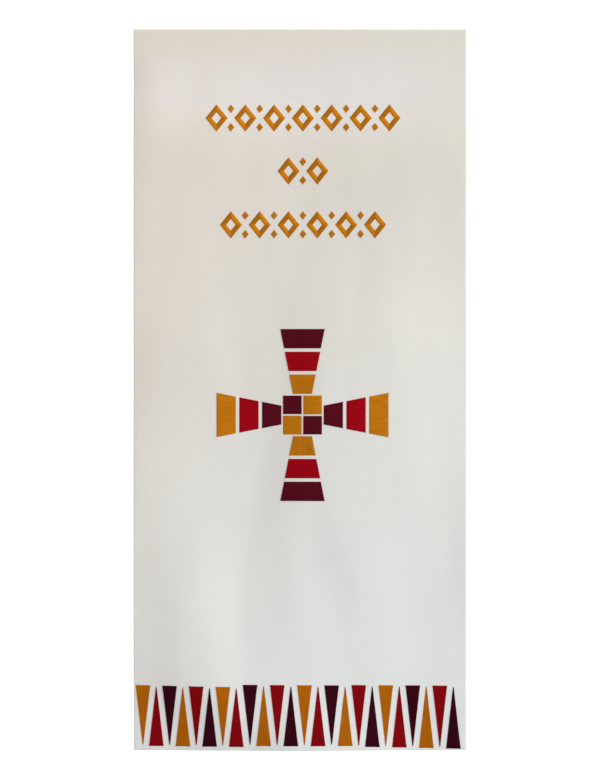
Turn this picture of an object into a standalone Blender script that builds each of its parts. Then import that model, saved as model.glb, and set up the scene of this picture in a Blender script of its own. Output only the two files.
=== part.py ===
# Ambo cloth: a narrow white hanging for the front of a lectern. Its face carries a flared
# cross of banded patches and, above the hem, a border of pointed patches.
# Units are metres and +Z is up. The origin is the middle of the top edge, half way through
# the cloth, and the face looks along -Y.

import math
from collections import namedtuple

import bmesh
import bpy

# The cloth and its hems, which are turned to the back
CLOTH_WIDTH = 0.600
CLOTH_DROP = 1.300
CLOTH_THICKNESS = 0.0015
SIDE_HEM = 0.012
TOP_HEM = 0.030
BOTTOM_HEM = 0.025
HEM_LAYER = 0.0012
HEM_SLOPE = 0.0015
CLOTH_COLUMNS = 62
CLOTH_ROWS = 42

# The patches, which lie just in front of the cloth
PATCH_THICKNESS = 0.0008
PATCH_GAP = 0.0005
PATCH_FACET_ACROSS = 0.0095
PATCH_FACET_DOWN = 0.027

# The border, sewn in runs that sit a little askew
BORDER_BASE = 0.0262
BORDER_TIP = 0.0012
BORDER_TIP_INSET = 0.0022
PATCHES_IN_RUN = 8

# The cross
CROSS_X = 0.0045
CROSS_Z = -0.695
CROSS_REACH = 0.155
CROSS_SQUARE = 0.070
CROSS_SEAM = 0.003
CROSS_BAND_SEAM = 0.006
ARM_ROOT_WIDTH = 0.034
ARM_END_WIDTH = 0.080
BANDS_IN_ARM = 3

Colour = namedtuple("Colour", "red green blue")
WHITE = Colour(222, 218, 211)
GOLD = Colour(186, 112, 16)
RED = Colour(158, 4, 26)
BURGUNDY = Colour(82, 10, 28)
CLOTH_ROUGHNESS = 0.85
THREAD_ROUGHNESS = 0.6

# Flutes of the cloth, in metres. Each is a soft ridge (stand above 0) or trough (below 0)
# that bends through three places, at its start, half way down and at the hem.
Flute = namedtuple("Flute", "start_z start_x middle_x hem_x stand half_width")
FLUTES = (
    Flute(-0.712, 0.285, -0.174, 0.078, 0.0047, 0.120),
    Flute(-0.847, -0.310, -0.310, -0.029, 0.0021, 0.075),
    Flute(-0.504, 0.067, -0.094, -0.084, -0.0017, 0.0455),
    Flute(-0.343, 0.113, 0.003, -0.020, 0.0027, 0.0545),
    Flute(-0.761, -0.062, 0.068, 0.095, -0.0035, 0.060),
    Flute(-0.150, 0.009, 0.063, 0.107, 0.0050, 0.088),
    Flute(-0.722, 0.225, 0.280, 0.308, -0.0018, 0.048),
    Flute(-0.152, 0.293, 0.196, 0.022, 0.0008, 0.050),
    Flute(-0.567, -0.253, -0.233, -0.123, 0.0050, 0.0835),
    Flute(-0.800, 0.147, 0.221, 0.208, -0.0045, 0.120),
)
FLUTE_START_WIDTH = 0.75    # share of the half width at the start, all of it at the hem
FLUTE_GROWTH = 1.6          # how soon a flute reaches its full stand on its way down

# Broad unevenness of the face, in metres: soft mounds and hollows, and side edges that curl
Mound = namedtuple("Mound", "x z stand half_width half_height")
MOUNDS = (
    Mound(-0.311, -0.081, -0.0040, 0.030, 0.224),
    Mound(-0.320, -0.629, -0.0040, 0.039, 0.100),
    Mound(0.082, -0.617, 0.0050, 0.146, 0.262),
    Mound(0.010, -0.232, -0.0040, 0.213, 0.164),
    Mound(0.252, -0.458, -0.0040, 0.400, 0.090),
    Mound(-0.175, -0.584, 0.0023, 0.052, 0.141),
    Mound(0.177, -0.587, 0.0050, 0.083, 0.281),
    Mound(0.317, -0.242, 0.0050, 0.400, 0.085),
    Mound(-0.070, -0.132, -0.0040, 0.400, 0.052),
)
TOP_EASE = 0.045            # the top hem is held flat, and the face eases out below it

# Runs of the border: the middle of its first patch, the pitch, and the height of its upper
# and lower line above the hem's edge, in metres
Run = namedtuple("Run", "first_x pitch upper_left upper_right lower_left lower_right")
RUNS = (
    Run(-0.2830, 0.02404, 0.1182, 0.1152, 0.0084, 0.0070),
    Run(-0.0899, 0.02449, 0.1190, 0.1176, 0.0088, 0.0086),
    Run(0.1060, 0.02440, 0.1181, 0.1165, 0.0072, 0.0030),
)

# Arms of the cross: its way out from the middle and its bands from the end inwards
Arm = namedtuple("Arm", "name out_x out_z bands")
ARMS = (
    Arm("top", 0, 1, (BURGUNDY, RED, GOLD)),
    Arm("right", 1, 0, (GOLD, RED, BURGUNDY)),
    Arm("bottom", 0, -1, (BURGUNDY, RED, GOLD)),
    Arm("left", -1, 0, (GOLD, RED, BURGUNDY)),
)

# Squares in the middle of the cross
Square = namedtuple("Square", "name side_x side_z colour")
SQUARES = (
    Square("upper_left", -1, 1, BURGUNDY),
    Square("upper_right", 1, 1, GOLD),
    Square("lower_left", -1, -1, GOLD),
    Square("lower_right", 1, -1, BURGUNDY),
)


def blend(a, b, share):
    return a + (b - a) * share


def ease(share):
    """Go softly from 0 to 1 as share does."""
    share = min(max(share, 0.0), 1.0)
    return share * share * (3 - 2 * share)


def bell(distance):
    """1 in the middle of a fold, falling softly to 0 on both sides."""
    return math.exp(-distance * distance)


def flute_middle(flute, along):
    """The flute's middle line: a parabola through its start, half way and the hem."""
    from_start = flute.start_x * 2 * (along - 0.5) * (along - 1)
    from_middle = flute.middle_x * 4 * along * (1 - along)
    from_hem = flute.hem_x * 2 * along * (along - 0.5)
    return from_start + from_middle + from_hem


def flute_stand(flute, x, z):
    along = (flute.start_z - z) / (flute.start_z + CLOTH_DROP)
    if along <= 0:
        return 0.0
    half_width = flute.half_width * blend(FLUTE_START_WIDTH, 1.0, along)
    across = bell((x - flute_middle(flute, along)) / half_width)
    return flute.stand * ease(FLUTE_GROWTH * along) * across


def mound_stand(mound, x, z):
    across = bell((x - mound.x) / mound.half_width)
    return mound.stand * across * bell((z - mound.z) / mound.half_height)


def face_stand(x, z):
    """How far the cloth stands out to the front at a place on its face."""
    stand = sum(mound_stand(mound, x, z) for mound in MOUNDS)
    stand *= ease((-z - TOP_HEM - HEM_SLOPE) / TOP_EASE)
    stand += sum(flute_stand(flute, x, z) for flute in FLUTES)
    return stand


def face_y(x, z):
    return -CLOTH_THICKNESS / 2 - face_stand(x, z)


def places(low, high, low_hem, high_hem, count):
    """Grid lines from low to high, with a line at each side of both hems' slopes."""
    inner_low = low + low_hem + HEM_SLOPE
    inner_high = high - high_hem - HEM_SLOPE
    inner = [blend(inner_low, inner_high, i / (count - 4)) for i in range(count - 3)]
    return [low, low + low_hem] + inner + [high - high_hem, high]


def layers_at(x, z):
    """Cloth thickness: one layer, and a turned layer over the hems."""
    to_side = CLOTH_WIDTH / 2 - abs(x)
    in_hem = to_side < SIDE_HEM + HEM_SLOPE / 2
    in_hem = in_hem or -z < TOP_HEM + HEM_SLOPE / 2
    in_hem = in_hem or z + CLOTH_DROP < BOTTOM_HEM + HEM_SLOPE / 2
    return CLOTH_THICKNESS + (HEM_LAYER if in_hem else 0.0)


def srgb_to_linear(value):
    share = value / 255
    if share <= 0.04045:
        return share / 12.92
    return ((share + 0.055) / 1.055) ** 2.4


def make_material(name, colour, roughness):
    material = bpy.data.materials.new(name)
    material.use_nodes = True
    shader = material.node_tree.nodes["Principled BSDF"]
    shader.inputs["Base Color"].default_value = (*map(srgb_to_linear, colour), 1.0)
    shader.inputs["Roughness"].default_value = roughness
    shader.inputs["Metallic"].default_value = 0.0
    return material


def add_object(name, bm, material):
    bmesh.ops.recalc_face_normals(bm, faces=bm.faces)
    mesh = bpy.data.meshes.new(name)
    bm.to_mesh(mesh)
    bm.free()
    mesh.materials.append(material)
    mesh.shade_smooth()
    mesh.set_sharp_from_angle(angle=math.radians(40))
    obj = bpy.data.objects.new(name, mesh)
    bpy.context.scene.collection.objects.link(obj)
    return obj


def make_sheet(columns, rows, front_of, back_of):
    """A closed sheet: a grid set on the front, extruded and set on the back."""
    bm = bmesh.new()
    bmesh.ops.create_grid(bm, x_segments=columns, y_segments=rows, size=0.5)
    front = [(v, round((v.co.x + 0.5) * columns), round((v.co.y + 0.5) * rows)) for v in bm.verts]
    for vertex, column, row in front:
        vertex.co = front_of(column, row)
    grown = bmesh.ops.extrude_face_region(bm, geom=bm.faces[:], use_keep_orig=True)
    for item in grown["geom"]:
        if isinstance(item, bmesh.types.BMVert):
            item.co = back_of(item.co)
    return bm


def make_cloth(material):
    columns = places(-CLOTH_WIDTH / 2, CLOTH_WIDTH / 2, SIDE_HEM, SIDE_HEM, CLOTH_COLUMNS)
    rows = places(-CLOTH_DROP, 0.0, BOTTOM_HEM, TOP_HEM, CLOTH_ROWS)

    def front_of(column, row):
        x, z = columns[column], rows[row]
        return x, face_y(x, z), z

    def back_of(place):
        return place.x, place.y + layers_at(place.x, place.z), place.z

    bm = make_sheet(CLOTH_COLUMNS, CLOTH_ROWS, front_of, back_of)
    add_object("cloth", bm, material)


def facets(start, end):
    """How many facets a patch needs between two places on its face."""
    across = abs(end[0] - start[0]) / PATCH_FACET_ACROSS
    down = abs(end[1] - start[1]) / PATCH_FACET_DOWN
    return max(1, math.ceil(max(across, down)))


def make_patch(name, start_edge, end_edge, material):
    """A patch on the folds of the face, ruled between two opposite edges (x, z places)."""
    columns = max(facets(*start_edge), facets(*end_edge))
    rows = max(facets(start_edge[0], end_edge[0]), facets(start_edge[1], end_edge[1]))

    def front_of(column, row):
        ends = []
        for axis in (0, 1):
            start = blend(start_edge[0][axis], start_edge[1][axis], column / columns)
            end = blend(end_edge[0][axis], end_edge[1][axis], column / columns)
            ends.append(blend(start, end, row / rows))
        x, z = ends
        return x, face_y(x, z) - PATCH_GAP - PATCH_THICKNESS, z

    def back_of(place):
        return place.x, place.y + PATCH_THICKNESS, place.z

    bm = make_sheet(columns, rows, front_of, back_of)
    add_object(name, bm, material)


def make_border(materials):
    colours = (GOLD, RED, BURGUNDY)
    for index in range(PATCHES_IN_RUN * len(RUNS)):
        run = RUNS[index // PATCHES_IN_RUN]
        run_length = (PATCHES_IN_RUN - 1) * run.pitch
        middle = run.first_x + index % PATCHES_IN_RUN * run.pitch
        points_down = index % 2 == 0

        def edge(width, is_upper, inset):
            ends = []
            for x in (middle - width / 2, middle + width / 2):
                share = (x - run.first_x) / run_length
                if is_upper:
                    height = blend(run.upper_left, run.upper_right, share) - inset
                else:
                    height = blend(run.lower_left, run.lower_right, share) + inset
                ends.append((x, height - CLOTH_DROP))
            return ends

        base = edge(BORDER_BASE, points_down, 0.0)
        tip = edge(BORDER_TIP, not points_down, BORDER_TIP_INSET)
        colour = colours[index % len(colours)]
        make_patch(f"border_{index + 1:02d}", base, tip, materials[colour])


def make_cross(materials):
    root = CROSS_SQUARE / 2 + CROSS_SEAM
    seams = (BANDS_IN_ARM - 1) * CROSS_BAND_SEAM
    band_length = (CROSS_REACH - root - seams) / BANDS_IN_ARM
    for arm in ARMS:

        def edge(reach):
            share = (reach - root) / (CROSS_REACH - root)
            half = blend(ARM_ROOT_WIDTH, ARM_END_WIDTH, share) / 2
            middle_x = CROSS_X + arm.out_x * reach
            middle_z = CROSS_Z + arm.out_z * reach
            return [
                (middle_x - side * arm.out_z * half, middle_z + side * arm.out_x * half)
                for side in (-1, 1)
            ]

        for band, colour in enumerate(arm.bands):
            outer = CROSS_REACH - band * (band_length + CROSS_BAND_SEAM)
            name = f"cross_{arm.name}_band_{band + 1}"
            make_patch(name, edge(outer), edge(outer - band_length), materials[colour])

    near = CROSS_SEAM / 2
    far = CROSS_SQUARE / 2
    for square in SQUARES:
        xs = [CROSS_X + square.side_x * near, CROSS_X + square.side_x * far]
        zs = [CROSS_Z + square.side_z * near, CROSS_Z + square.side_z * far]
        lower = [(x, zs[0]) for x in xs]
        upper = [(x, zs[1]) for x in xs]
        make_patch(f"cross_square_{square.name}", lower, upper, materials[square.colour])


def main():
    for obj in list(bpy.data.objects):
        bpy.data.objects.remove(obj)
    white = make_material("white_cloth", WHITE, CLOTH_ROUGHNESS)
    materials = {
        GOLD: make_material("gold_thread", GOLD, THREAD_ROUGHNESS),
        RED: make_material("red_thread", RED, THREAD_ROUGHNESS),
        BURGUNDY: make_material("burgundy_thread", BURGUNDY, THREAD_ROUGHNESS),
    }
    make_cloth(white)
    make_border(materials)
    make_cross(materials)


main()
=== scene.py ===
# Ambo cloth, dressed: woven white cloth, stitched patches, a satin ornament and felled hems
import math

import bpy
import numpy as np
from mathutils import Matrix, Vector


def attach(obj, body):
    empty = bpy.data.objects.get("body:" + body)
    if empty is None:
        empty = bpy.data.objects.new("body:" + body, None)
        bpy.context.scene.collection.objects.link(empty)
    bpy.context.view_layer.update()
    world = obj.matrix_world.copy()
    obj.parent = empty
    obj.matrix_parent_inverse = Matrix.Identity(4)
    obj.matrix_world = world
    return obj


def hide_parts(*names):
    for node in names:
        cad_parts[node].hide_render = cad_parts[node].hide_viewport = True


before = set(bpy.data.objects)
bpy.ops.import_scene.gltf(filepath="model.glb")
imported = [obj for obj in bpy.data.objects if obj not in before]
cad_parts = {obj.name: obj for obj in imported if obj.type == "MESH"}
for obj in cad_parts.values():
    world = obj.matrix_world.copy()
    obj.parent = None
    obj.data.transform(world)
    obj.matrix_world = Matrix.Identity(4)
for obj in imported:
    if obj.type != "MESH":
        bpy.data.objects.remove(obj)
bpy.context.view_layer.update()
print("frame loaded:", len(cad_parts), "nodes")


# small helpers

def blend(a, b, share):
    return a + (b - a) * share


def ease(share):
    share = np.clip(share, 0.0, 1.0)
    return share * share * (3 - 2 * share)


def bell(distance):
    return np.exp(-distance * distance)


def linearColour(red, green, blue):  # from a 0 to 255 screen colour
    def channel(value):
        share = value / 255
        return share / 12.92 if share <= 0.04045 else ((share + 0.055) / 1.055) ** 2.4
    return (channel(red), channel(green), channel(blue), 1.0)


def readPlaces(piece):
    places = np.empty(len(piece.data.vertices) * 3)
    piece.data.vertices.foreach_get("co", places)
    return places.reshape(-1, 3)


def writePlaces(piece, places):
    piece.data.vertices.foreach_set("co", places.ravel())
    piece.data.update()


def selectOnly(*pieces):  # the first of them becomes the active one
    bpy.ops.object.select_all(action="DESELECT")
    for piece in pieces:
        piece.select_set(True)
    bpy.context.view_layer.objects.active = pieces[0]


def applyModifiers(piece):
    selectOnly(piece)
    for modifier in list(piece.modifiers):
        bpy.ops.object.modifier_apply(modifier=modifier.name)


def inEditMode(piece, *steps):  # each step runs with everything selected
    selectOnly(piece)
    bpy.ops.object.mode_set(mode="EDIT")
    for step in steps:
        bpy.ops.mesh.select_all(action="SELECT")
        step()
    bpy.ops.object.mode_set(mode="OBJECT")


def faceOutward():
    bpy.ops.mesh.normals_make_consistent(inside=False)


def joinPieces(pieces, name):
    selectOnly(*pieces)
    bpy.ops.object.join()
    pieces[0].name = name
    return pieces[0]


def addGrid(name, columns, rows):  # gives each vertex its column and row
    bpy.ops.object.select_all(action="DESELECT")
    bpy.ops.mesh.primitive_grid_add(x_subdivisions=columns, y_subdivisions=rows, size=1)
    piece = bpy.context.object
    piece.name = name
    places = readPlaces(piece)
    column = np.rint((places[:, 0] + 0.5) * columns).astype(int)
    row = np.rint((places[:, 1] + 0.5) * rows).astype(int)
    return piece, column, row


def closeSheet(piece, front, back):  # front and back are the places of the same vertices
    writePlaces(piece, front)
    solid = piece.modifiers.new("thickness", "SOLIDIFY")
    solid.thickness = 0.001  # any thickness, because the back is placed next
    applyModifiers(piece)
    writePlaces(piece, np.concatenate([front, back]))
    inEditMode(piece, faceOutward)


# node helpers

def addNode(tree, kind, place, **settings):
    node = tree.nodes.new(kind)
    node.location = place
    for key, value in settings.items():
        setattr(node, key, value)
    return node


def addMath(tree, operation, place, first, second=None, clamp=False):
    node = addNode(tree, "ShaderNodeMath", place, operation=operation, use_clamp=clamp)
    for socket, value in zip(node.inputs, (first, second)):
        if value is None:
            continue
        if isinstance(value, (int, float)):
            socket.default_value = value
        else:
            tree.links.new(value, socket)
    return node.outputs[0]


def addTone(tree, place, source, toneRange, sourceRange=(0.0, 1.0)):
    node = addNode(tree, "ShaderNodeMapRange", place)
    node.inputs["From Min"].default_value = sourceRange[0]
    node.inputs["From Max"].default_value = sourceRange[1]
    node.inputs["To Min"].default_value = toneRange[0]
    node.inputs["To Max"].default_value = toneRange[1]
    tree.links.new(source, node.inputs["Value"])
    return node.outputs[0]


def addTint(tree, place, colour, tone):  # colour is a value or a socket
    node = addNode(tree, "ShaderNodeMix", place, data_type="RGBA", blend_type="MULTIPLY")
    node.inputs["Factor"].default_value = 1.0
    if isinstance(colour, tuple):
        node.inputs["A"].default_value = colour
    else:
        tree.links.new(colour, node.inputs["A"])
    tree.links.new(tone, node.inputs["B"])
    return node.outputs["Result"]


def addRelief(tree, height, strength, distance):
    bump = addNode(tree, "ShaderNodeBump", (-420, -250))
    bump.inputs["Strength"].default_value = strength
    bump.inputs["Distance"].default_value = distance
    tree.links.new(height, bump.inputs["Height"])
    tree.links.new(bump.outputs[0], tree.nodes["Principled BSDF"].inputs["Normal"])


def startGroup(name, inputs, outputs):
    group = bpy.data.node_groups.new(name, "ShaderNodeTree")
    for label, kind, value in inputs:
        socket = group.interface.new_socket(name=label, in_out="INPUT", socket_type=kind)
        if value is not None:
            socket.default_value = value
    for label, kind in outputs:
        group.interface.new_socket(name=label, in_out="OUTPUT", socket_type=kind)
    groupIn = addNode(group, "NodeGroupInput", (-1400, 0))
    groupOut = addNode(group, "NodeGroupOutput", (600, 0))
    return group, groupIn, groupOut


def startMaterial(name):
    material = bpy.data.materials.new(name)
    material.use_nodes = True
    return material, material.node_tree, material.node_tree.nodes["Principled BSDF"]


# plain weave: two sets of threads that pass over and under each other

plainWeave = {
    "overHeight": 0.35,
    "slubScale": (900, 900, 60),
    "slubDetail": 2.0,
}


def makeWeaveGroup():
    group, groupIn, groupOut = startGroup(
        "plainWeave",
        [("Place", "NodeSocketVector", None), ("Thread", "NodeSocketFloat", 0.0006),
         ("Slub", "NodeSocketFloat", 0.3)],
        [("Height", "NodeSocketFloat"), ("Tone", "NodeSocketFloat")])
    parts = addNode(group, "ShaderNodeSeparateXYZ", (-1200, 0))
    group.links.new(groupIn.outputs["Place"], parts.inputs[0])
    waves = []
    for axis, height in (("X", 200), ("Z", -200)):
        turns = addMath(group, "DIVIDE", (-1000, height), parts.outputs[axis],
                        groupIn.outputs["Thread"])
        angle = addMath(group, "MULTIPLY", (-820, height), turns, math.pi)
        waves.append(addMath(group, "SINE", (-640, height), angle))
    over = addMath(group, "MULTIPLY", (-440, 100), waves[0], waves[1])
    warp = addMath(group, "ABSOLUTE", (-440, -60), waves[0])
    weft = addMath(group, "ABSOLUTE", (-440, -200), waves[1])
    crown = addMath(group, "MULTIPLY", (-260, -120), warp, weft)
    lifted = addMath(group, "MULTIPLY", (-260, 100), over, plainWeave["overHeight"])
    relief = addMath(group, "ADD", (-80, 0), lifted, crown)
    stretch = addNode(group, "ShaderNodeMapping", (-1000, -460))
    stretch.inputs["Scale"].default_value = plainWeave["slubScale"]
    group.links.new(groupIn.outputs["Place"], stretch.inputs["Vector"])
    slub = addNode(group, "ShaderNodeTexNoise", (-800, -460))
    slub.inputs["Scale"].default_value = 1.0
    slub.inputs["Detail"].default_value = plainWeave["slubDetail"]
    group.links.new(stretch.outputs[0], slub.inputs["Vector"])
    uneven = addMath(group, "MULTIPLY", (-260, -420), slub.outputs["Fac"],
                     groupIn.outputs["Slub"])
    height = addMath(group, "ADD", (200, 0), relief, uneven)
    group.links.new(height, groupOut.inputs["Height"])
    group.links.new(slub.outputs["Fac"], groupOut.inputs["Tone"])
    return group


# laid stitches: U counts threads, V counts stitches along them

laidStitches = {
    "streakStretch": 0.35,
    "streakScale": 0.31,
    "streakDetail": 3.0,
    "streakRoughness": 0.7,
    "pliesInStitch": 44.0,
}


def makeStitchGroup():
    group, groupIn, groupOut = startGroup(
        "laidStitches",
        [("Count", "NodeSocketVector", None), ("Stagger", "NodeSocketFloat", 0.25),
         ("Pinch", "NodeSocketFloat", 0.06)],
        [("Pricks", "NodeSocketFloat"), ("Streaks", "NodeSocketFloat"),
         ("Twist", "NodeSocketFloat")])
    parts = addNode(group, "ShaderNodeSeparateXYZ", (-1200, 0))
    group.links.new(groupIn.outputs["Count"], parts.inputs[0])
    thread = addMath(group, "FLOOR", (-1000, 160), parts.outputs["X"])
    shift = addMath(group, "MULTIPLY", (-820, 160), thread, groupIn.outputs["Stagger"])
    along = addMath(group, "ADD", (-640, 160), parts.outputs["Y"], shift)
    share = addMath(group, "FRACT", (-460, 160), along)
    toMiddle = addMath(group, "SUBTRACT", (-280, 160), share, 0.5)
    fromMiddle = addMath(group, "ABSOLUTE", (-100, 160), toMiddle)
    toEnd = addMath(group, "SUBTRACT", (80, 160), 0.5, fromMiddle)
    near = addMath(group, "DIVIDE", (240, 160), toEnd, groupIn.outputs["Pinch"], clamp=True)
    pricks = addMath(group, "SUBTRACT", (400, 160), 1.0, near)
    own = addNode(group, "ShaderNodeCombineXYZ", (-820, -160))
    group.links.new(thread, own.inputs["X"])
    slow = addMath(group, "MULTIPLY", (-1000, -240), parts.outputs["Y"],
                   laidStitches["streakStretch"])
    group.links.new(slow, own.inputs["Y"])
    streaks = addNode(group, "ShaderNodeTexNoise", (-640, -160))
    streaks.inputs["Scale"].default_value = laidStitches["streakScale"]
    streaks.inputs["Detail"].default_value = laidStitches["streakDetail"]
    streaks.inputs["Roughness"].default_value = laidStitches["streakRoughness"]
    group.links.new(own.outputs[0], streaks.inputs["Vector"])
    ply = addMath(group, "MULTIPLY", (-1000, -460), parts.outputs["Y"],
                  laidStitches["pliesInStitch"])
    lean = addMath(group, "ADD", (-820, -460), ply, parts.outputs["X"])
    turn = addMath(group, "MULTIPLY", (-640, -460), lean, math.pi)
    twist = addMath(group, "SINE", (-460, -460), turn)
    group.links.new(pricks, groupOut.inputs["Pricks"])
    group.links.new(streaks.outputs["Fac"], groupOut.inputs["Streaks"])
    group.links.new(twist, groupOut.inputs["Twist"])
    return group


weaveGroup = makeWeaveGroup()
stitchGroup = makeStitchGroup()


# the cloth: its size, hems and folds, in metres and degrees as all sizes here

cloth = {
    "width": 0.600,
    "drop": 1.300,
    "faceY": -0.00075,  # the held top edge's face
    "singleLayer": 0.0011,
    "hemLayers": 0.0025,
    "sideHem": 0.012,
    "topHem": 0.030,
    "bottomHem": 0.025,
    "turnUnder": 0.008,
    "hemSlope": 0.0012,  # how far a hem's edge takes to fall to the single layer
    "topEase": 0.045,  # how far below its top hem the cloth stays nearly flat
    "fluteStartWidth": 0.75,
    "fluteGrowth": 1.6,
    "facet": 0.005,
    "edgeRound": 0.0005,
    "edgeSegments": 3,
    "edgeAngle": 60,
    "smoothAngle": 50,
    "colour": (227, 226, 222),
    "cloudScale": 5.0,
    "cloudDetail": 3.0,
    "cloudTone": (0.985, 1.015),
    "slub": 0.5,
    "slubTone": (0.97, 1.03),
    "threadWidth": 0.00055,
    "threadRelief": 0.00012,
    "reliefStrength": 0.35,
    "roughness": 0.86,
    "gloss": 0.25,
    "sheen": 0.12,
    "sheenRoughness": 0.5,
}

flutes = [  # soft ridges and troughs that run down to the hem
    dict(startZ=-0.712, startX=0.285, middleX=-0.174, hemX=0.078, stand=0.0047, halfWidth=0.12),
    dict(startZ=-0.847, startX=-0.31, middleX=-0.31, hemX=-0.029, stand=0.0021, halfWidth=0.075),
    dict(startZ=-0.504, startX=0.067, middleX=-0.094, hemX=-0.084, stand=-0.0017, halfWidth=0.0455),
    dict(startZ=-0.343, startX=0.113, middleX=0.003, hemX=-0.02, stand=0.0027, halfWidth=0.0545),
    dict(startZ=-0.761, startX=-0.062, middleX=0.068, hemX=0.095, stand=-0.0035, halfWidth=0.06),
    dict(startZ=-0.15, startX=0.009, middleX=0.063, hemX=0.107, stand=0.005, halfWidth=0.088),
    dict(startZ=-0.722, startX=0.225, middleX=0.28, hemX=0.308, stand=-0.0018, halfWidth=0.048),
    dict(startZ=-0.152, startX=0.293, middleX=0.196, hemX=0.022, stand=0.0008, halfWidth=0.05),
    dict(startZ=-0.567, startX=-0.253, middleX=-0.233, hemX=-0.123, stand=0.005, halfWidth=0.0835),
    dict(startZ=-0.8, startX=0.147, middleX=0.221, hemX=0.208, stand=-0.0045, halfWidth=0.12),
]

mounds = [  # broad unevenness higher up, and side edges that curl
    dict(x=-0.311, z=-0.081, stand=-0.004, halfWidth=0.03, halfHeight=0.224),
    dict(x=-0.32, z=-0.629, stand=-0.004, halfWidth=0.039, halfHeight=0.1),
    dict(x=0.082, z=-0.617, stand=0.005, halfWidth=0.146, halfHeight=0.262),
    dict(x=0.01, z=-0.232, stand=-0.004, halfWidth=0.213, halfHeight=0.164),
    dict(x=0.252, z=-0.458, stand=-0.004, halfWidth=0.4, halfHeight=0.09),
    dict(x=-0.175, z=-0.584, stand=0.0023, halfWidth=0.052, halfHeight=0.141),
    dict(x=0.177, z=-0.587, stand=0.005, halfWidth=0.083, halfHeight=0.281),
    dict(x=0.317, z=-0.242, stand=0.005, halfWidth=0.4, halfHeight=0.085),
    dict(x=-0.07, z=-0.132, stand=-0.004, halfWidth=0.4, halfHeight=0.052),
]

ripples = [  # faint unevenness of a cloth that was folded and hung out
    dict(turnsX=3.1, turnsZ=1.3, phase=0.4, stand=0.00022),
    dict(turnsX=-4.7, turnsZ=2.1, phase=1.9, stand=0.00016),
    dict(turnsX=7.3, turnsZ=2.9, phase=3.1, stand=0.00010),
    dict(turnsX=-9.8, turnsZ=3.7, phase=5.2, stand=0.00007),
    dict(turnsX=1.2, turnsZ=6.1, phase=2.6, stand=0.00012),
]


def fluteMiddle(flute, along):
    fromStart = flute["startX"] * 2 * (along - 0.5) * (along - 1)
    fromMiddle = flute["middleX"] * 4 * along * (1 - along)
    fromHem = flute["hemX"] * 2 * along * (along - 0.5)
    return fromStart + fromMiddle + fromHem


def faceStand(x, z):
    stand = np.zeros_like(x)
    for mound in mounds:
        across = bell((x - mound["x"]) / mound["halfWidth"])
        stand += mound["stand"] * across * bell((z - mound["z"]) / mound["halfHeight"])
    for ripple in ripples:
        turns = ripple["turnsX"] * x / cloth["width"] + ripple["turnsZ"] * z / cloth["drop"]
        stand += ripple["stand"] * np.sin(2 * math.pi * turns + ripple["phase"])
    stand *= ease((-z - cloth["topHem"]) / cloth["topEase"])
    for flute in flutes:
        along = (flute["startZ"] - z) / (flute["startZ"] + cloth["drop"])
        width = flute["halfWidth"] * blend(cloth["fluteStartWidth"], 1.0, along)
        across = bell((x - fluteMiddle(flute, along)) / width)
        stand += flute["stand"] * ease(cloth["fluteGrowth"] * along) * across
    return stand


def faceY(x, z):
    return cloth["faceY"] - faceStand(x, z)


def layersAt(x, z):  # one layer, and the turned layers over the hems
    toSide = cloth["width"] / 2 - np.abs(x)
    inHem = np.maximum(cloth["sideHem"] - toSide, cloth["topHem"] + z)
    inHem = np.maximum(inHem, cloth["bottomHem"] - (z + cloth["drop"]))
    slope = ease(inHem / cloth["hemSlope"] + 0.25)
    return blend(cloth["singleLayer"], cloth["hemLayers"], slope)


def gridLines(low, high, lowHem, highHem):  # even lines, with closer ones at the hems' edges
    slope = cloth["hemSlope"]
    steps = round((high - low) / cloth["facet"])
    even = np.linspace(low, high, steps + 1)
    close = []
    for hemLine, inward in ((low + lowHem, 1), (high - highHem, -1)):
        close += [hemLine + inward * slope * share for share in (-0.75, -0.25, 0.25)]
    kept = [line for line in even if min(abs(line - other) for other in close) > 1.5 * slope]
    return np.array(sorted(kept + close))


def makeClothMaterial():
    material, tree, shader = startMaterial("whiteCloth")
    place = addNode(tree, "ShaderNodeTexCoord", (-1400, 0))
    weave = addNode(tree, "ShaderNodeGroup", (-1100, -200), node_tree=weaveGroup)
    weave.inputs["Thread"].default_value = cloth["threadWidth"]
    weave.inputs["Slub"].default_value = cloth["slub"]
    tree.links.new(place.outputs["Object"], weave.inputs["Place"])
    cloud = addNode(tree, "ShaderNodeTexNoise", (-1100, 200))
    cloud.inputs["Scale"].default_value = cloth["cloudScale"]
    cloud.inputs["Detail"].default_value = cloth["cloudDetail"]
    tree.links.new(place.outputs["Object"], cloud.inputs["Vector"])
    shade = addTone(tree, (-900, 200), cloud.outputs["Fac"], cloth["cloudTone"])
    fleck = addTone(tree, (-900, 0), weave.outputs["Tone"], cloth["slubTone"])
    both = addMath(tree, "MULTIPLY", (-700, 120), shade, fleck)
    tinted = addTint(tree, (-450, 100), linearColour(*cloth["colour"]), both)
    tree.links.new(tinted, shader.inputs["Base Color"])
    addRelief(tree, weave.outputs["Height"], cloth["reliefStrength"], cloth["threadRelief"])
    shader.inputs["Roughness"].default_value = cloth["roughness"]
    shader.inputs["Specular IOR Level"].default_value = cloth["gloss"]
    shader.inputs["Sheen Weight"].default_value = cloth["sheen"]
    shader.inputs["Sheen Roughness"].default_value = cloth["sheenRoughness"]
    return material


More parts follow.
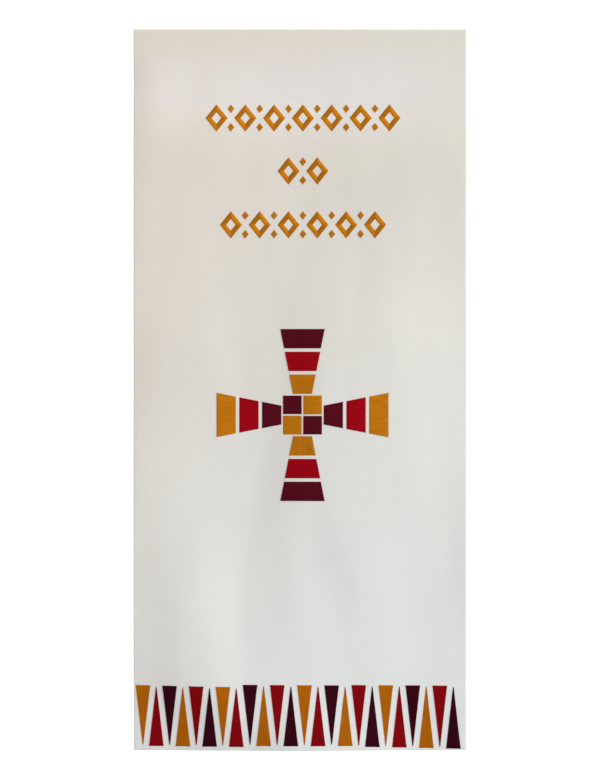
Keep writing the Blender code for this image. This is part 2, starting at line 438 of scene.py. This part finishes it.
def makeCloth():
    half = cloth["width"] / 2
    xs = gridLines(-half, half, cloth["sideHem"], cloth["sideHem"])
    zs = gridLines(-cloth["drop"], 0.0, cloth["bottomHem"], cloth["topHem"])
    piece, column, row = addGrid("clothSheet", len(xs) - 1, len(zs) - 1)
    x, z = xs[column], zs[row]
    front = np.stack([x, faceY(x, z), z], axis=1)
    back = front + np.stack([0 * x, layersAt(x, z), 0 * x], axis=1)
    closeSheet(piece, front, back)
    rim = piece.modifiers.new("roundRim", "BEVEL")
    rim.limit_method = "ANGLE"
    rim.angle_limit = math.radians(cloth["edgeAngle"])
    rim.width = cloth["edgeRound"]
    rim.segments = cloth["edgeSegments"]
    applyModifiers(piece)
    bpy.ops.object.shade_smooth_by_angle(angle=math.radians(cloth["smoothAngle"]))
    piece.data.materials.clear()
    piece.data.materials.append(makeClothMaterial())
    return piece


clothSheet = makeCloth()
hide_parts("cloth")
print("cloth made:", len(clothSheet.data.polygons), "faces")


# stitched fields: patches of laid thread, with real ridges

stitching = {
    "threadWidth": 0.00060,
    "facesInThread": 4,
    "rows": (0, 0.006, 0.02, 0.12, 0.24, 0.37, 0.5, 0.63, 0.76, 0.88, 0.98, 0.994, 1),
    "lift": 0.00010,
    "height": 0.00042,
    "ridge": 0.00020,
    "scallop": 0.00018,
    "scallopShare": 0.3,
    "endRise": (0.15, 0.75, 1.0),  # of the full height, in the first rows from either end
    "smoothAngle": 75,
    "stitchLength": 0.0040,
    "unpricked": (0.3, 0.7),  # V of a stitch that isn't pricked on its way
    "sewn": dict(roughness=0.60, gloss=0.05, stagger=0.25),
    "satin": dict(roughness=0.45, gloss=0.10, stagger=0.0),
    "streaks": (0.3, 0.7),
    "streakTone": (0.80, 1.16),
    # painted sheen: how much lighter or darker the satin threads are painted with their lean
    "paintedLeanSheen": (0.66, 1.16),
    "prickShade": -0.3,
    "plyHeight": 0.18,
    "relief": 0.00012,
    "reliefStrength": 0.5,
}

threads = {  # screen colours
    # the cross copies of each thread are painted lighter, as painted light
    "crossGold": dict(colour=(197, 122, 14), slot="gold_thread"),
    "crossRed": dict(colour=(163, 0, 20), slot="red_thread"),
    "crossBurgundy": dict(colour=(89, 8, 28), slot="burgundy_thread"),
    # the border copies are the same threads painted darker, as painted shade
    "shadedBorderGold": dict(colour=(182, 100, 2), slot="gold_thread"),
    "shadedBorderRed": dict(colour=(138, 0, 8), slot="red_thread"),
    "shadedBorderBurgundy": dict(colour=(55, 0, 17), slot="burgundy_thread"),
    "satinGold": dict(colour=(196, 122, 0), slot="gold_thread"),
}


def makeThreadMaterial(name, colour, finish):
    material, tree, shader = startMaterial(name)
    place = addNode(tree, "ShaderNodeUVMap", (-1400, 0), uv_map="stitchMap")
    stitch = addNode(tree, "ShaderNodeGroup", (-1150, 0), node_tree=stitchGroup)
    stitch.inputs["Stagger"].default_value = finish["stagger"]
    tree.links.new(place.outputs[0], stitch.inputs["Count"])
    streak = addTone(tree, (-900, 150), stitch.outputs["Streaks"], stitching["streakTone"],
                     stitching["streaks"])
    hollow = addMath(tree, "MULTIPLY", (-900, -50), stitch.outputs["Pricks"],
                     stitching["prickShade"])
    kept = addMath(tree, "ADD", (-740, -50), hollow, 1.0)
    both = addMath(tree, "MULTIPLY", (-600, 80), streak, kept)
    tinted = addTint(tree, (-420, 100), linearColour(*colour), both)
    tree.links.new(tinted, shader.inputs["Base Color"])
    ply = addMath(tree, "MULTIPLY", (-900, -260), stitch.outputs["Twist"],
                  stitching["plyHeight"])
    relief = addMath(tree, "SUBTRACT", (-740, -260), ply, stitch.outputs["Pricks"])
    addRelief(tree, relief, stitching["reliefStrength"], stitching["relief"])
    shader.inputs["Roughness"].default_value = finish["roughness"]
    shader.inputs["Specular IOR Level"].default_value = finish["gloss"]
    return material


def addPaintedLeanSheen(material):  # painted sheen: the satin threads are painted light and dark by the way they lean
    tree = material.node_tree
    shader = tree.nodes["Principled BSDF"]
    lean = addNode(tree, "ShaderNodeAttribute", (-900, 420), attribute_name="paintedLeanSheen")
    tone = addTone(tree, (-700, 420), lean.outputs["Fac"], stitching["paintedLeanSheen"])
    plain = shader.inputs["Base Color"].links[0].from_socket
    leaned = addTint(tree, (-200, 200), plain, tone)
    tree.links.new(leaned, shader.inputs["Base Color"])


for threadName, thread in threads.items():
    finish = stitching["satin" if threadName == "satinGold" else "sewn"]
    thread["material"] = makeThreadMaterial(threadName, thread["colour"], finish)
addPaintedLeanSheen(threads["satinGold"]["material"])


def alongSpan(corners, across):  # where a line across the corners' shape goes in and out
    found = []
    for (a, b), (c, d) in zip(corners, corners[1:] + corners[:1]):
        if a != c and min(a, c) <= across <= max(a, c):
            found.append(blend(b, d, (across - a) / (c - a)))
    return min(found), max(found)


def stitchMap(piece, across, along):  # one count for each vertex
    layer = piece.data.uv_layers.new(name="stitchMap")
    piece.data.uv_layers.active = layer
    corner = np.empty(len(piece.data.loops), dtype=int)
    piece.data.loops.foreach_get("vertex_index", corner)
    layer.data.foreach_set("uv", np.stack([across[corner], along[corner]], axis=1).ravel())
    for other in [item for item in piece.data.uv_layers if item.name != "stitchMap"]:
        piece.data.uv_layers.remove(other)


def makeField(name, outline, threadsRun, rows=stitching["rows"], crown=0.0, split=True):
    runsDown = threadsRun == "down"
    corners = [(x, z) if runsDown else (z, x) for x, z in outline]
    low = min(corner[0] for corner in corners)
    high = max(corner[0] for corner in corners)
    count = max(2, round((high - low) / stitching["threadWidth"]))
    spans = np.array([alongSpan(corners, blend(low, high, (i + 0.5) / count))
                      for i in range(count)])
    perThread = stitching["facesInThread"]
    piece, column, row = addGrid(name, count * perThread, len(rows) - 1)

    phase = column % perThread
    thread = np.clip(column // perThread, 0, count - 1)
    before = np.clip(thread - 1, 0, count - 1)
    valley = (phase == 0)[:, None]
    ends = np.where(valley, (spans[thread] + spans[before]) / 2, spans[thread])
    dip = np.abs(np.cos(math.pi * (phase / perThread)))  # 1 in a valley, 0 on a crest
    limit = stitching["scallopShare"] * (ends[:, 1] - ends[:, 0])
    shrink = np.minimum(stitching["scallop"] * dip ** 2, limit)
    share = np.array(rows)[row]
    along = blend(ends[:, 0] + shrink, ends[:, 1] - shrink, share)
    across = blend(low, high, column / (count * perThread))

    toEnd = np.minimum(row, len(rows) - 1 - row)
    endRise = np.array(stitching["endRise"])[np.minimum(toEnd, 2)]
    fromMiddle = 2 * np.abs(across - (low + high) / 2) / (high - low)
    swell = crown * (1 - fromMiddle ** 2) * np.sin(math.pi * share)
    height = stitching["height"] + stitching["ridge"] * (1 - dip ** 2) + swell
    x, z = (across, along) if runsDown else (along, across)
    backY = faceY(x, z) - stitching["lift"]
    front = np.stack([x, backY - height * endRise, z], axis=1)
    closeSheet(piece, front, np.stack([x, backY, z], axis=1))

    # split threads are pricked down on their way, the others only at both ends
    if split:
        lengths = along / stitching["stitchLength"]
    else:
        lengths = blend(*stitching["unpricked"], share)
    stitchMap(piece, np.tile(column / perThread, 2), np.tile(lengths, 2))
    bpy.ops.object.shade_smooth_by_angle(angle=math.radians(stitching["smoothAngle"]))
    return piece


def finishField(piece, threadName, nodeName=None):
    piece.data.materials.clear()
    piece.data.materials.append(threads[threadName]["material"])
    if nodeName:
        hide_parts(nodeName)


# the border: patches that point down and up in turn, sewn in three runs

border = {
    "base": 0.0262,
    "tip": 0.0012,
    "tipInset": 0.0022,
    "patchesInRun": 8,
    "colours": ("shadedBorderGold", "shadedBorderRed", "shadedBorderBurgundy"),
    "runs": [  # the first patch's middle, the pitch, and heights above the hem's edge
        dict(firstX=-0.2830, pitch=0.02404, upperLeft=0.1182, upperRight=0.1152,
             lowerLeft=0.0084, lowerRight=0.0070),
        dict(firstX=-0.0899, pitch=0.02449, upperLeft=0.1190, upperRight=0.1176,
             lowerLeft=0.0088, lowerRight=0.0086),
        dict(firstX=0.1060, pitch=0.02440, upperLeft=0.1181, upperRight=0.1165,
             lowerLeft=0.0072, lowerRight=0.0030),
    ],
}


def borderEdge(run, middle, width, upper, inset):
    runLength = (border["patchesInRun"] - 1) * run["pitch"]
    ends = []
    for x in (middle - width / 2, middle + width / 2):
        share = (x - run["firstX"]) / runLength
        if upper:
            height = blend(run["upperLeft"], run["upperRight"], share) - inset
        else:
            height = blend(run["lowerLeft"], run["lowerRight"], share) + inset
        ends.append((x, height - cloth["drop"]))
    return ends


def makeBorder():
    pieces = []
    perRun = border["patchesInRun"]
    for index in range(perRun * len(border["runs"])):
        run = border["runs"][index // perRun]
        middle = run["firstX"] + index % perRun * run["pitch"]
        pointsDown = index % 2 == 0
        base = borderEdge(run, middle, border["base"], pointsDown, 0.0)
        tip = borderEdge(run, middle, border["tip"], not pointsDown, border["tipInset"])
        number = f"{index + 1:02d}"
        piece = makeField("borderPatch" + number, base + tip[::-1], "down")
        finishField(piece, border["colours"][index % 3], "border_" + number)
        pieces.append(piece)
    return pieces


borderPatches = makeBorder()
print("border made:", len(borderPatches), "patches")


# the cross: flared arms of three bands and a quartered square

cross = {
    "x": 0.0045,
    "z": -0.695,
    "reach": 0.155,
    "square": 0.070,
    "seam": 0.003,
    "bandSeam": 0.006,
    "rootWidth": 0.034,
    "endWidth": 0.080,
    "arms": [  # bands from the end inwards
        dict(name="top", outX=0, outZ=1, bands=("Burgundy", "Red", "Gold")),
        dict(name="right", outX=1, outZ=0, bands=("Gold", "Red", "Burgundy")),
        dict(name="bottom", outX=0, outZ=-1, bands=("Burgundy", "Red", "Gold")),
        dict(name="left", outX=-1, outZ=0, bands=("Gold", "Red", "Burgundy")),
    ],
    "squares": [
        dict(name="upper_left", sideX=-1, sideZ=1, colour="Burgundy", threadsRun="down"),
        dict(name="upper_right", sideX=1, sideZ=1, colour="Gold", threadsRun="across"),
        dict(name="lower_left", sideX=-1, sideZ=-1, colour="Gold", threadsRun="across"),
        dict(name="lower_right", sideX=1, sideZ=-1, colour="Burgundy", threadsRun="down"),
    ],
    "rows": (0, 0.015, 0.06, 0.28, 0.5, 0.72, 0.94, 0.985, 1),
}


def armEdge(arm, reach):
    root = cross["square"] / 2 + cross["seam"]
    share = (reach - root) / (cross["reach"] - root)
    half = blend(cross["rootWidth"], cross["endWidth"], share) / 2
    middleX = cross["x"] + arm["outX"] * reach
    middleZ = cross["z"] + arm["outZ"] * reach
    return [(middleX - side * arm["outZ"] * half, middleZ + side * arm["outX"] * half)
            for side in (-1, 1)]


def makeCross():
    pieces = []
    root = cross["square"] / 2 + cross["seam"]
    bandLength = (cross["reach"] - root - 2 * cross["bandSeam"]) / 3
    for arm in cross["arms"]:
        threadsRun = "down" if arm["outZ"] else "across"
        for band, colour in enumerate(arm["bands"]):
            outer = cross["reach"] - band * (bandLength + cross["bandSeam"])
            outline = armEdge(arm, outer) + armEdge(arm, outer - bandLength)[::-1]
            name = "cross" + arm["name"].capitalize() + f"Band{band + 1}"
            piece = makeField(name, outline, threadsRun, rows=cross["rows"])
            finishField(piece, "cross" + colour, f"cross_{arm['name']}_band_{band + 1}")
            pieces.append(piece)
    near, far = cross["seam"] / 2, cross["square"] / 2
    for square in cross["squares"]:
        x = [cross["x"] + square["sideX"] * reach for reach in (near, far)]
        z = [cross["z"] + square["sideZ"] * reach for reach in (near, far)]
        outline = [(x[0], z[0]), (x[1], z[0]), (x[1], z[1]), (x[0], z[1])]
        name = "crossSquare" + square["name"].title().replace("_", "")
        piece = makeField(name, outline, square["threadsRun"], rows=cross["rows"])
        finishField(piece, "cross" + square["colour"], "cross_square_" + square["name"])
        pieces.append(piece)
    return pieces


crossPatches = makeCross()
print("cross made:", len(crossPatches), "patches")


# the ornament: rows of satin-stitched lozenges with small ones between them

ornament = {
    "middleX": 0.0054,
    "halfWidth": 0.0200,
    "halfHeight": 0.0249,
    "stroke": 0.0090,
    "pitch": 0.0520,
    "threadsInSide": 40,
    "facesInThread": 4,
    "ridge": 0.00014,
    "scallop": 0.00014,
    "smallHalfWidth": 0.0062,
    "smallHalfHeight": 0.0077,
    "smallStand": 0.0168,
    "smallCrown": 0.0003,
    "smallRows": (0, 0.05, 0.2, 0.5, 0.8, 0.95, 1),
    "section": [  # across the stroke from its outer edge, and height: the top, then the back
        (0.00, 0.0), (0.05, 0.45), (0.22, 0.86), (0.5, 1.0), (0.78, 0.86), (0.95, 0.45),
        (1.00, 0.0), (0.5, 0.0), (0.00, 0.0)],
    "height": 0.00085,
    "weld": 0.000005,
    "tone": 0.45,  # painted sheen: satin is painted light on one way of leaning and dark on the other
    "sheenSwing": 0.35,
    # painted highlight along the middle of each satin stroke
    "crownHighlight": 0.20,
    "turnSharpness": 2.2,
    # painted sheen of the small lozenges, lighter on one side than the other
    "smallSheenLevel": 0.55,
    "smallSheenSwing": 0.3,
    "rows": [
        dict(name="ornamentTop", z=-0.1591, lozenges=7),
        dict(name="ornamentMiddle", z=-0.2550, lozenges=2),
        dict(name="ornamentLow", z=-0.3520, lozenges=6),
    ],
}


def paintedLeanSheen(piece, tone):  # painted sheen: satin threads are painted lighter or darker with the way they lean
    layer = piece.data.attributes.new("paintedLeanSheen", "FLOAT", "POINT")
    layer.data.foreach_set("value", tone)


def makeLozenge(name, middleX, middleZ):
    section = np.array(ornament["section"])
    perThread = ornament["facesInThread"]
    around = 4 * ornament["threadsInSide"] * perThread
    piece, column, row = addGrid(name, around, len(section) - 1)
    quarter = column / (ornament["threadsInSide"] * perThread)
    corners = np.array([(0, 1), (1, 0), (0, -1), (-1, 0), (0, 1)], float)
    side = np.clip(quarter.astype(int), 0, 3)
    share = (quarter - side)[:, None]
    unit = blend(corners[side], corners[side + 1], share)

    wide, high = ornament["halfWidth"], ornament["halfHeight"]
    toSide = wide * high / math.hypot(wide, high)
    phase = np.abs(np.cos(math.pi * (column % perThread) / perThread))
    cut = ornament["scallop"] * phase ** 2 / toSide
    across = section[row, 0]
    scale = blend(1 - cut, 1 - ornament["stroke"] / toSide + cut, across)
    x = middleX + unit[:, 0] * wide * scale
    z = middleZ + unit[:, 1] * high * scale
    rise = section[row, 1]
    height = rise * (ornament["height"] - ornament["ridge"] * phase ** 2)
    y = faceY(x, z) - stitching["lift"] - height
    writePlaces(piece, np.stack([x, y, z], axis=1))
    stitchMap(piece, column / perThread, blend(*stitching["unpricked"], across))
    # painted sheen: threads are painted bright on the strokes that fall to the right, with a
    # painted highlight along each stroke's middle
    swing = np.clip(ornament["turnSharpness"] * np.sin(math.pi * quarter), -1, 1)
    middle = 1 - (2 * across - 1) ** 2
    paintedLeanSheen(piece, ornament["tone"] + ornament["sheenSwing"] * swing
             + ornament["crownHighlight"] * middle)
    inEditMode(piece,
               lambda: bpy.ops.mesh.remove_doubles(threshold=ornament["weld"]), faceOutward)
    bpy.ops.object.shade_smooth_by_angle(angle=math.radians(stitching["smoothAngle"]))
    return piece


def makeSmallLozenge(name, middleX, middleZ):
    wide, high = ornament["smallHalfWidth"], ornament["smallHalfHeight"]
    outline = [(middleX, middleZ + high), (middleX + wide, middleZ), (middleX, middleZ - high),
               (middleX - wide, middleZ)]
    piece = makeField(name, outline, "across", rows=ornament["smallRows"],
                      crown=ornament["smallCrown"], split=False)
    places = readPlaces(piece)
    # painted sheen: each small lozenge is painted lighter on its left side than on its right
    swing = np.clip((middleX - places[:, 0]) / wide, -1, 1)
    paintedLeanSheen(piece, ornament["smallSheenLevel"] + ornament["smallSheenSwing"] * swing)
    return piece


def makeOrnamentRow(row):
    parts = []
    firstX = ornament["middleX"] - (row["lozenges"] - 1) * ornament["pitch"] / 2
    for index in range(row["lozenges"]):
        parts.append(makeLozenge("lozenge", firstX + index * ornament["pitch"], row["z"]))
    for index in range(row["lozenges"] - 1):
        between = firstX + (index + 0.5) * ornament["pitch"]
        for side in (-1, 1):
            place = row["z"] + side * ornament["smallStand"]
            parts.append(makeSmallLozenge("smallLozenge", between, place))
    piece = joinPieces(parts, row["name"])
    finishField(piece, "satinGold")
    return piece


ornamentRows = [makeOrnamentRow(row) for row in ornament["rows"]]
print("ornament made:", [len(piece.data.polygons) for piece in ornamentRows], "faces")


# felling stitches that hold the hems' inner edges at the back

felling = {
    "pitch": 0.0042,
    "length": 0.0030,
    "halfWidth": 0.00022,
    "lean": 0.6,
    "fromEdge": 0.0004,
    "standShare": 0.6,
    "colour": (232, 229, 222),
    "plyShade": 14,
    "plyScale": 700.0,
    "roughness": 0.6,
}


def makeFellingLine(start, end):  # one stitch, repeated along the line and laid on the cloth
    run = Vector(end) - Vector(start)
    count = int(run.length / felling["pitch"])
    step = run / count
    bpy.ops.object.select_all(action="DESELECT")
    bpy.ops.mesh.primitive_ico_sphere_add(subdivisions=1, radius=1)
    piece = bpy.context.object
    wide = felling["halfWidth"]
    turn = math.atan2(step.y, step.x) - felling["lean"]
    inEditMode(piece,
               lambda: bpy.ops.transform.resize(value=(felling["length"] / 2, wide, wide)),
               lambda: bpy.ops.transform.rotate(value=turn, orient_axis="Y",
                                                center_override=(0, 0, 0)))
    stitches = piece.modifiers.new("stitches", "ARRAY")
    stitches.count = count
    stitches.use_relative_offset = False
    stitches.use_constant_offset = True
    stitches.constant_offset_displace = (step.x, 0, step.y)
    applyModifiers(piece)
    places = readPlaces(piece)
    x = places[:, 0] + start[0] + step.x / 2
    z = places[:, 2] + start[1] + step.y / 2
    y = faceY(x, z) + layersAt(x, z) + felling["standShare"] * wide + places[:, 1]
    writePlaces(piece, np.stack([x, y, z], axis=1))
    return piece


def makeFelling():
    side = cloth["width"] / 2 - cloth["sideHem"] - felling["fromEdge"]
    top = -cloth["topHem"] - felling["fromEdge"]
    bottom = -cloth["drop"] + cloth["bottomHem"] + felling["fromEdge"]
    corners = [(-side, bottom), (-side, top), (side, top), (side, bottom)]
    lines = [makeFellingLine(start, end)
             for start, end in zip(corners, corners[1:] + corners[:1])]
    piece = joinPieces(lines, "hemFelling")
    inEditMode(piece, faceOutward)
    bpy.ops.object.shade_smooth()
    for layer in list(piece.data.uv_layers):
        piece.data.uv_layers.remove(layer)
    material, tree, shader = startMaterial("fellingThread")
    place = addNode(tree, "ShaderNodeTexCoord", (-900, 0))
    ply = addNode(tree, "ShaderNodeTexWave", (-650, 0))
    ply.inputs["Scale"].default_value = felling["plyScale"]
    tree.links.new(place.outputs["Object"], ply.inputs["Vector"])
    tint = addNode(tree, "ShaderNodeMix", (-400, 0), data_type="RGBA")
    tint.inputs["A"].default_value = linearColour(*felling["colour"])
    shade = [part - felling["plyShade"] for part in felling["colour"]]
    tint.inputs["B"].default_value = linearColour(*shade)
    tree.links.new(ply.outputs["Fac"], tint.inputs["Factor"])
    tree.links.new(tint.outputs["Result"], shader.inputs["Base Color"])
    shader.inputs["Roughness"].default_value = felling["roughness"]
    piece.data.materials.append(material)
    return piece


hemFelling = makeFelling()
print("hems felled:", len(hemFelling.data.polygons), "faces")


# everything rides on the one body

trims = borderPatches + crossPatches + ornamentRows + [hemFelling]
for piece in [clothSheet] + trims:
    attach(piece, "root")


# camera, floor and light

studio = {
    "pictureHeight": 1.4067,
    "lens": 85,
    "sensor": 24,
    "floorZ": -1.50,
    "floorSize": 30,
    "floorColour": (0.50, 0.52, 0.54, 1),
    "floorRoughness": 0.9,
    "skyLight": 0.195,
    "skyColour": (1.0, 0.95, 0.88, 1),
    "floorGlow": 1.0,  # this and the next two are for the camera alone
    "seenSkyLight": 1.05,
    "seenColour": (1, 1, 1, 1),
    "lights": [
        dict(name="key", place=(7.80, -4.15, 3.90), aim=(0, 0, -0.65), wide=3.2, high=3.2,
             spread=180, power=1095, colour=(1.0, 0.98, 0.91)),
        dict(name="top", place=(-0.1, -0.9, -0.105), aim=(-0.1, 0, -0.105), wide=0.7, high=0.06,
             spread=13, power=0.037, colour=(0.50, 0.63, 1.0)),
        dict(name="warm", place=(-1.5, -1.3, -0.3), aim=(-0.2, 0, -0.4), wide=0.8, high=0.8,
             spread=180, power=7.5, colour=(1.0, 0.44, 0.06)),
        dict(name="cool", place=(0.0, -1.1, -1.10), aim=(0.0, 0, -1.10), wide=1.0, high=0.6,
             spread=180, power=3.0, colour=(0.20, 0.59, 1.0)),
        dict(name="back", place=(3.4, 2.3, 0.5), aim=(0, 0, -0.65), wide=1.6, high=1.6,
             spread=60, power=20, colour=(1.0, 0.98, 0.95)),
    ],
}


def aimAt(item, target):
    away = item.location - Vector(target)
    item.rotation_euler = away.to_track_quat("Z", "Y").to_euler()


def makeCamera():
    camera = bpy.data.cameras.new("camera")
    camera.sensor_fit = "VERTICAL"
    camera.sensor_height = studio["sensor"]
    camera.lens = studio["lens"]
    item = bpy.data.objects.new("camera", camera)
    distance = studio["pictureHeight"] * studio["lens"] / studio["sensor"]
    item.location = (0, -distance, -cloth["drop"] / 2)
    aimAt(item, (0, 0, -cloth["drop"] / 2))
    bpy.context.scene.collection.objects.link(item)
    bpy.context.scene.camera = item


def makeLight(name, place, aim, wide, high, spread, power, colour):
    light = bpy.data.lights.new(name, "AREA")
    light.shape = "RECTANGLE"
    light.size = wide
    light.size_y = high
    light.spread = math.radians(spread)
    light.energy = power
    light.color = colour
    item = bpy.data.objects.new(name, light)
    item.location = place
    aimAt(item, aim)
    bpy.context.scene.collection.objects.link(item)


def makeFloor():
    bpy.ops.object.select_all(action="DESELECT")
    bpy.ops.mesh.primitive_plane_add(size=studio["floorSize"], location=(0, 0, studio["floorZ"]))
    floor = bpy.context.object
    floor.name = "floor"
    material, tree, shader = startMaterial("paleFloor")
    shader.inputs["Base Color"].default_value = studio["floorColour"]
    shader.inputs["Roughness"].default_value = studio["floorRoughness"]
    shader.inputs["Emission Color"].default_value = studio["seenColour"]
    seen = addNode(tree, "ShaderNodeLightPath", (-600, -200))
    glow = addMath(tree, "MULTIPLY", (-300, -200), seen.outputs["Is Camera Ray"],
                   studio["floorGlow"])
    tree.links.new(glow, shader.inputs["Emission Strength"])
    floor.data.materials.append(material)


def makeSky():
    world = bpy.data.worlds.new("sky")
    bpy.context.scene.world = world
    world.use_nodes = True
    tree = world.node_tree
    back = tree.nodes["Background"]
    seen = addNode(tree, "ShaderNodeLightPath", (-600, 200))
    strength = addTone(tree, (-300, 200), seen.outputs["Is Camera Ray"],
                       (studio["skyLight"], studio["seenSkyLight"]))
    tree.links.new(strength, back.inputs["Strength"])
    tint = addNode(tree, "ShaderNodeMix", (-300, 0), data_type="RGBA")
    tint.inputs["A"].default_value = studio["skyColour"]
    tint.inputs["B"].default_value = studio["seenColour"]
    tree.links.new(seen.outputs["Is Camera Ray"], tint.inputs["Factor"])
    tree.links.new(tint.outputs["Result"], back.inputs["Color"])


makeCamera()
makeFloor()
makeSky()
for light in studio["lights"]:
    makeLight(**light)
bpy.context.scene.view_settings.view_transform = "Standard"
print("studio ready")
